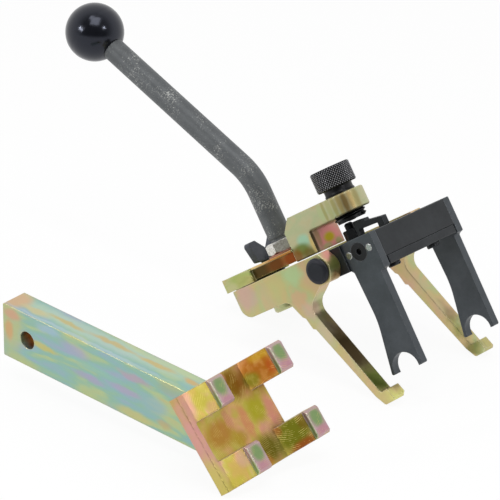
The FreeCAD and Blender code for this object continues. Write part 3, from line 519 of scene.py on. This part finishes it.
ball_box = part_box("ball_knob")
ball_middle = (Vector(ball_box[0]) + Vector(ball_box[1])) / 2
ball_way = tool.to_3x3() @ Vector((-math.sin(rod_bend_angle), 0, math.cos(rod_bend_angle)))
face_drop = math.sqrt(ball_radius ** 2 - ball_face_radius ** 2)
face_angle = math.asin(ball_face_radius / ball_radius)
profile = [(0.0, -face_drop), (ball_flat_radius, -face_drop)]
for i in range(ball_rings + 1):
    angle = face_angle + (math.pi - face_angle) * i / ball_rings
    profile.append((ball_radius * math.sin(angle), -ball_radius * math.cos(angle)))
profile[-1] = (0.0, ball_radius)
bm = bmesh.new()
turned(bm, profile)
for vert in bm.verts:
    if abs(vert.co.z) < parting_half_width:
        outward = Vector((vert.co.x, vert.co.y, 0)).normalized()
        vert.co -= outward * parting_depth
ball_turn = ball_way.to_track_quat("Z", "Y").to_matrix().to_4x4()
bmesh.ops.transform(bm, verts=bm.verts, matrix=Matrix.Translation(ball_middle) @ ball_turn)
finished(bm, "ball_moulded", ball_material, body="lever_assembly", replaced="ball_knob",
         smooth_angle=30)

# The wing screw: a forged wing on a threaded shank, which clamps the lever bar to the yoke.
# It is blackened, dull and a little rough.
dress(black_oxide("wing_black_oxide", "3E4148", "555861", "767A83", roughness=0.5, grain_mm=2.4),
      ["wing_screw"])

# The collar that keeps the wing screw in the lever bar: a thin turned ring, blackened, in a
# counterbore under the bar.
dress(black_oxide("collar_black_oxide", "24262B", "34373C", "5E626B"), ["screw_collar"])

# The clamp nut under the yoke, which takes the wing screw's thread: turned steel, plated and
# passivated with the rest.
clamp_nut_film = ["C9BE90", "B9BE8C", "D0B890"]
dress(passivated_zinc("clamp_nut_passivated_zinc", tool, clamp_nut_film, cloud_mm=(10, 10, 10)),
      ["clamp_nut"])

# The thumb screw: turned in one piece with an M22 thread, a neck that flares to its root and a
# drum head with a diamond knurl, blackened, its tips painted grey as highlights. The knurl's real pitch of
# 1.3 to 1.4 mm is too fine to show, so it is cut coarser.
screw_offset = -0.0043
screw_axes = tool @ Matrix.Translation((screw_offset, 0, 0))
thread_radius = 0.0110
thread_pitch = 0.0025
thread_steps = 40
thread_lead_in = 0.0018
screw_end = 0.0209
thread_top = 0.0388
core_chamfer = 0.0002
root_radius = 0.0103
root_top = 0.0407
root_chamfer = 0.0003
neck_radius = 0.00975
neck_flare = 0.0008
neck_fillet = 0.0004
head_radius = 0.0137
head_low = 0.0442
head_high = 0.0580
head_chamfer = 0.0010
knurl_mm = 1.9
knurl_depth = 0.00065
surface_slack = 1e-5


def threaded(bm, radius, pitch, low, high, steps, lead_in):
    """A helical ridge of one pitch spun up the axis, cut back at its lower end."""
    depth = 0.61 * pitch
    crest_start = 0.44 * pitch
    crest_stop = 0.56 * pitch
    ridge = [(radius - depth, low), (radius, low + crest_start), (radius, low + crest_stop),
             (radius - depth, low + pitch)]
    verts = [bm.verts.new((r, 0, z)) for r, z in ridge]
    edges = [bm.edges.new(pair) for pair in zip(verts, verts[1:])]
    turns = round((high - low) / pitch) - 1
    bmesh.ops.spin(bm, geom=verts + edges, cent=(0, 0, 0), axis=(0, 0, 1), dvec=(0, 0, pitch / steps),
                   angle=2 * math.pi * turns, steps=steps * turns)
    for vert in bm.verts:
        limit = radius - lead_in + max(0.0, vert.co.z - low)
        reach = math.hypot(vert.co.x, vert.co.y)
        if reach > limit:
            vert.co.x *= limit / reach
            vert.co.y *= limit / reach


bm = bmesh.new()
threaded(bm, thread_radius, thread_pitch, screw_end, thread_top, thread_steps, thread_lead_in)
core = thread_radius - 0.60 * thread_pitch
turned(bm, [(0, screw_end), (core - core_chamfer, screw_end), (core, screw_end + core_chamfer),
            (core, thread_top), (root_radius, thread_top + root_chamfer),
            (root_radius, root_top - root_chamfer), (root_radius - root_chamfer, root_top),
            (neck_radius, root_top + neck_flare), (neck_radius, head_low - neck_fillet),
            (neck_radius + neck_fillet, head_low), (0, head_low)])
bmesh.ops.remove_doubles(bm, verts=bm.verts, dist=merge_distance)
knurl_height = head_high - head_low - 2 * head_chamfer
knurl_columns = 2 * round(2 * math.pi * head_radius * 1000 / knurl_mm)
knurl_rows = 2 * round(knurl_height * 1000 / knurl_mm)
rise = knurl_height / knurl_rows
drum = bmesh.new()
profile = [(0, head_low), (head_radius - head_chamfer, head_low)]
profile += [(head_radius, head_low + head_chamfer + rise * i) for i in range(knurl_rows + 1)]
profile += [(head_radius - head_chamfer, head_high), (0, head_high)]
turned(drum, profile, knurl_columns)
bmesh.ops.remove_doubles(drum, verts=drum.verts, dist=merge_distance)
valleys = []
for vert in drum.verts:
    row = (vert.co.z - head_low - head_chamfer) / rise
    reach = math.hypot(vert.co.x, vert.co.y)
    if reach > head_radius - surface_slack and -0.1 < row < knurl_rows + 0.1:
        column = math.atan2(vert.co.y, vert.co.x) / (2 * math.pi) * knurl_columns
        if (round(row) + round(column)) % 2:
            vert.co.x *= 1 - knurl_depth / head_radius
            vert.co.y *= 1 - knurl_depth / head_radius
            valleys.append(vert)
bmesh.ops.connect_verts(drum, verts=valleys)
drum_mesh = bpy.data.meshes.new("drum")
drum.to_mesh(drum_mesh)
drum.free()
bm.from_mesh(drum_mesh)
bpy.data.meshes.remove(drum_mesh)
bmesh.ops.transform(bm, verts=bm.verts, matrix=screw_axes)
screw_material = black_oxide("screw_black_oxide", "121315", "1C1D20", "6A6A6E", roughness=0.36,
                             grain_mm=0.8, edge_mm=0.08)
tree = screw_material.node_tree
metal = tree.nodes["metal"]
colour = metal.inputs["Base Color"].links[0].from_socket
place = add(tree, "ShaderNodeTexCoord").outputs["Object"]
own = add(tree, "ShaderNodeMapping",
          {"Vector": place, "Location": screw_axes.to_translation(), "Rotation": screw_axes.to_euler()},
          vector_type="TEXTURE").outputs[0]
outward = add(tree, "ShaderNodeVectorMath", {0: own, 1: (1, 1, 0)}, operation="MULTIPLY")
radius = add(tree, "ShaderNodeVectorMath", {0: outward.outputs[0]}, operation="LENGTH")
# The knurl's tips are painted pale grey: a painted highlight on the peaks.
tips = add(tree, "ShaderNodeMapRange",
           {"Value": radius.outputs["Value"], "From Min": head_radius - 0.6 * knurl_depth,
            "From Max": head_radius - 0.15 * knurl_depth, "To Max": 1.0})
rubbed_and_highlit = add(tree, "ShaderNodeMix",
             {"Factor": tips.outputs[0], "A": colour, "B": linear("BEBEC2")}, data_type="RGBA")
tree.links.new(rubbed_and_highlit.outputs["Result"], metal.inputs["Base Color"])
finished(bm, "thumb_screw_knurled", screw_material, body="thumb_screw", replaced="thumb_screw",
         smooth_angle=20)

# The thrust pin in the thumb screw's end: a short turned pin that presses on the stop stud,
# blackened with the screw.
dress(screw_material, ["thrust_pin"])

# The cross beam with its ledge strip, the strip's two screws and the bent strip beside the stop
# stud: milled and bent steel, in black oxide with edges rubbed grey.
dress(black_oxide("frame_black_oxide", "202326", "2F3235", "6A6E74"),
      ["fork_beam", "beam_ledge", "stop_bridge", "ledge_screws"])

# The fork plates: milled from plate and let into the beam's ends. Their black oxide is paler
# than the beam's, a bluish grey.
dress(black_oxide("fork_black_oxide", "3C4145", "4C5156", "8A8F94"), ["fork_front", "fork_rear"])

# The stop stud with its nut, and the socket screws of the fork plates: turned and cold formed
# steel, in a darker and duller black oxide.
dress(black_oxide("stop_nut_black_oxide", "141517", "232528", "505357", roughness=0.5),
      ["stop_nut", "fork_screws", "stop_stud"])

# The dowels that place the fork plates: hardened pins pressed through them, ground and left
# bare, so their ends shine.
dress(bright_metal("dowel_ground_steel", "8E8F90", "D5D5D3", roughness=0.22, grain_mm=0.6),
      ["fork_dowels"])

# The loose holding bar: cold drawn flat bar with a cross bore, plated and passivated. Its own
# axes start at the top front corner of the free end: X along it, Y across, Z up.
bar_corner = Vector((-0.046714, -0.11504, 0.051961))
bar_angles = (6.9, 2.1, -4.0)
bar_turn = Euler([math.radians(angle) for angle in bar_angles]).to_matrix().to_4x4()
holder = Matrix.Translation(bar_corner) @ bar_turn
holder_film = ["A7A0B6", "9BAEBC", "90B6B2", "94B9A2", "AFC192", "BDBB86"]
front = (0, -1, 0)
top = (0, 0, 1)
holder_stains = [
    ((6, 0, -12), (16, 8, 30), "B9BC84", 0.8, front), ((8, 0, -5), (10, 8, 5), "CF9E84", 0.8, front),
    ((5, 0, -17), (5, 8, 10), "CFA070", 0.8, front), ((15, 0, -36), (24, 8, 6), "B7BE83", 0.7, front),
    ((35, 0, -17.5), (17, 8, 3.2), "C3BB72", 0.9, front), ((40, 0, -4), (15, 8, 5), "9DB9CC", 0.8, front),
    ((62, 0, -9), (16, 8, 6), "A9A4C4", 0.7, front), ((74, 0, -23.5), (18, 8, 3.6), "AAA2BA", 0.7, front),
    ((106, 0, -20), (18, 8, 3.6), "B09FBC", 0.7, front), ((112, 0, -8), (18, 8, 3.4), "BA9CB0", 0.7, front),
    ((78, 0, -15), (30, 8, 4), "92BDB0", 0.6, front), ((128, 0, -20), (16, 8, 9), "94B3BC", 0.7, front),
    ((142, 0, -4), (14, 8, 7), "A3AE90", 0.6, front), ((112, 0, -34), (22, 8, 4.5), "C3BD80", 0.8, front),
    ((78, 0, -36), (22, 8, 4), "B3C08A", 0.7, front), ((137, 0, -30), (9, 8, 4), "BFA878", 0.7, front),
    ((72, 11, 0), (110, 9, 9), "B6CCBA", 0.75, top), ((130, 16, 0), (50, 4, 6), "BFCB9E", 0.7, top),
    ((3, 9, 0), (15, 14, 6), "D0AC86", 0.9, top), ((22, 7, 0), (16, 4, 6), "CFC08A", 0.7, top),
    ((46, 10, 0), (22, 2.6, 6), "C4B47A", 0.85, top), ((84, 11.5, 0), (26, 3.0, 6), "C6B27C", 0.85, top),
    ((120, 11, 0), (20, 3.0, 6), "C8B276", 0.85, top), ((149, 11, 0), (9, 3.4, 6), "CBAC76", 0.9, top),
    ((72, 2, 0), (90, 2.2, 6), "B4C8CE", 0.6, top),
    ((21, 9.1, -18.6), (20, 9.3, 20), "9A5A26", 1.0), ((25, 9.1, -22), (9, 9.3, 9), "C08A3A", 0.8),
]
dress(passivated_zinc("holding_bar_passivated_zinc", holder, holder_film, cloud_mm=(40, 12, 9),
                      stains_and_painted_light=holder_stains, wander_mm=2.2, edge_code="E3CC8C"), ["holding_bar"])

# The lugged head: milled from plate with two rising seats and two lugs on each arm, and welded
# across the bar's slanted end. Seats and pocket keep a thick gold and orange film with the
# arcs of the cutter; the lugs' tops are pale green and pink.
slant = math.radians(48.0)
arm_way = Vector((0, 1, 0))
width_way = Vector((-math.cos(slant), 0, math.sin(slant)))
face_way = Vector((math.sin(slant), 0, math.cos(slant)))
head_corner = Vector((0.201683, -0.0199, -0.042517))
head_turn = Matrix((arm_way, width_way, face_way)).transposed().to_4x4()
head = holder @ (Matrix.Translation(head_corner) @ head_turn)
cutter_middle_mm = (70, 32, 5)
cutter_step_mm = 1.1
stroke_mm = 7.0
head_film = ["CF8F84", "CF9C6E", "C3A25A", "B9A94A", "C0B25C", "CC9A86"]
out = (0, 0, 1)
head_stains_and_highlights = [
    ((2, 32, 4), (5, 50, 12), "D59A94", 0.9), ((1, 8, 4), (5, 22, 12), "C9BE5E", 0.8),
    ((6, 56, 8), (5, 12, 6), "D49A92", 0.7), ((14, 55, 9), (9, 8, 7), "AEA33C", 0.85),
    ((18, 48, 9), (6, 6, 6), "BC8E6C", 0.6), ((14, 8, 9), (9, 9, 7), "BBA04E", 0.8),
    ((19, 13, 9), (6, 7, 6), "C09A7E", 0.8), ((8, 3, 9), (8, 5, 7), "B4AA3C", 0.7),
    ((18, 32, 5), (16, 12, 5), "AC7A30", 0.9), ((30, 24, 5), (9, 7, 5), "A98A24", 0.8),
    ((28, 38, 5), (4, 9, 5), "C27C68", 0.7), ((40, 30, 5), (5, 16, 5), "C8805C", 0.8),
    ((52, 34, 5), (11, 13, 5), "A39C1C", 0.9), ((62, 28, 5), (6, 18, 5), "C98470", 0.8),
    ((44, 54, 6), (12, 14, 5), "7E5E08", 1.0), ((38, 60, 6), (5, 6, 5), "CB8A70", 0.8),
    ((44, 10, 6), (12, 13, 5), "6E5C08", 1.0), ((40, 3, 6), (6, 6, 5), "B4702C", 0.7),
    ((62, 54, 9), (30, 20, 9), "7E4600", 1.0), ((58, 50, 7), (8, 7, 6), "5E5800", 0.9),
    ((70, 62, 9), (12, 4.5, 7), "8E6C0A", 0.8), ((74, 52, 10), (5, 7, 6), "8A3A04", 0.7),
    ((62, 10, 9), (29, 18, 9), "585800", 1.0), ((68, 1, 9), (16, 5, 7), "7A3A08", 0.9),
    ((74, 14, 9), (5, 8, 6), "5E4206", 0.6), ((57, 16, 7), (4, 5, 6), "7A420E", 0.7),
]
lug_spots = ((28.3, 54.1, 47), (81.5, 54.1, 48), (28.3, 9.3, 3), (81.5, 9.3, 3))
for lug_x, lug_y, pink_y in lug_spots:
    head_stains_and_highlights.append(((lug_x, lug_y, 14), (18, 30, 3.6), "BE9EA4", 1.0))
    head_stains_and_highlights.append(((lug_x, lug_y + 2.5, 14), (6.5, 9, 3.1), "7D9A62", 0.95, out))
    head_stains_and_highlights.append(((lug_x, pink_y, 14), (7, 5, 3.1), "BE8894", 0.8, out))
    # The lugs' left walls are painted pale, as lit, and the line along their top edge is a painted
    # highlight.
    head_stains_and_highlights.append(((lug_x - 5.5, lug_y + 6, 12), (3, 22, 5), "F2D6DC", 1.0, (-1, 0, 0)))
    head_stains_and_highlights.append(((lug_x - 5.5, lug_y - 7, 12), (3, 12, 5), "BEDCA0", 1.0, (-1, 0, 0)))
    head_stains_and_highlights.append(((lug_x - 5.2, lug_y, 13.7), (3, 20, 3), "FBF7DC", 1.0,
                        (-0.71, 0, 0.71), 0.90, 0.985))
head_material = passivated_zinc("lug_head_passivated_zinc", head, head_film, cloud_mm=(12, 16, 12),
                                stains_and_painted_light=head_stains_and_highlights, wander_mm=1.6, edge_code="E9CBB4", edge_share=0.7)
tree = head_material.node_tree
metal = tree.nodes["metal"]
colour = metal.inputs["Base Color"].links[0].from_socket
own = tree.nodes["own_axes"].outputs[0]
cutter = add(tree, "ShaderNodeVectorMath", {0: own, 1: cutter_middle_mm}, operation="DISTANCE")
sweep = add(tree, "ShaderNodeMath", {0: cutter.outputs["Value"], 1: 1 / cutter_step_mm},
            operation="MULTIPLY")
swept = add(tree, "ShaderNodeMath", {0: sweep.outputs[0]}, operation="FRACT")
line = add(tree, "ShaderNodeMapRange", {"Value": swept.outputs[0], "From Min": 0.72, "From Max": 0.95})
broken = add(tree, "ShaderNodeTexNoise",
             {"Vector": own, "Scale": 1 / stroke_mm, "Detail": 3.0, "Roughness": 0.7})
strokes = add(tree, "ShaderNodeMapRange",
              {"Value": broken.outputs[0], "From Min": 0.48, "From Max": 0.60, "To Max": 0.6})
shown = add(tree, "ShaderNodeMath", {0: line.outputs[0], 1: strokes.outputs[0]}, operation="MULTIPLY")
flat = add(tree, "ShaderNodeMath", {0: shown.outputs[0], 1: facing(tree, head, out)},
           operation="MULTIPLY")
scored = add(tree, "ShaderNodeMix",
             {"Factor": flat.outputs[0], "A": colour, "B": linear("E6D27A")}, data_type="RGBA")
tree.links.new(scored.outputs["Result"], metal.inputs["Base Color"])
dress(head_material, ["four_lug_head"])

# The weld between the bar and the head: a bead of steel run along the joint, plated over with
# both. Its film is a dull gold.
weld_film = ["A9966A", "B9A878", "8F8458"]
dress(passivated_zinc("weld_passivated_zinc", holder, weld_film, cloud_mm=(5, 5, 5)), ["head_weld"])
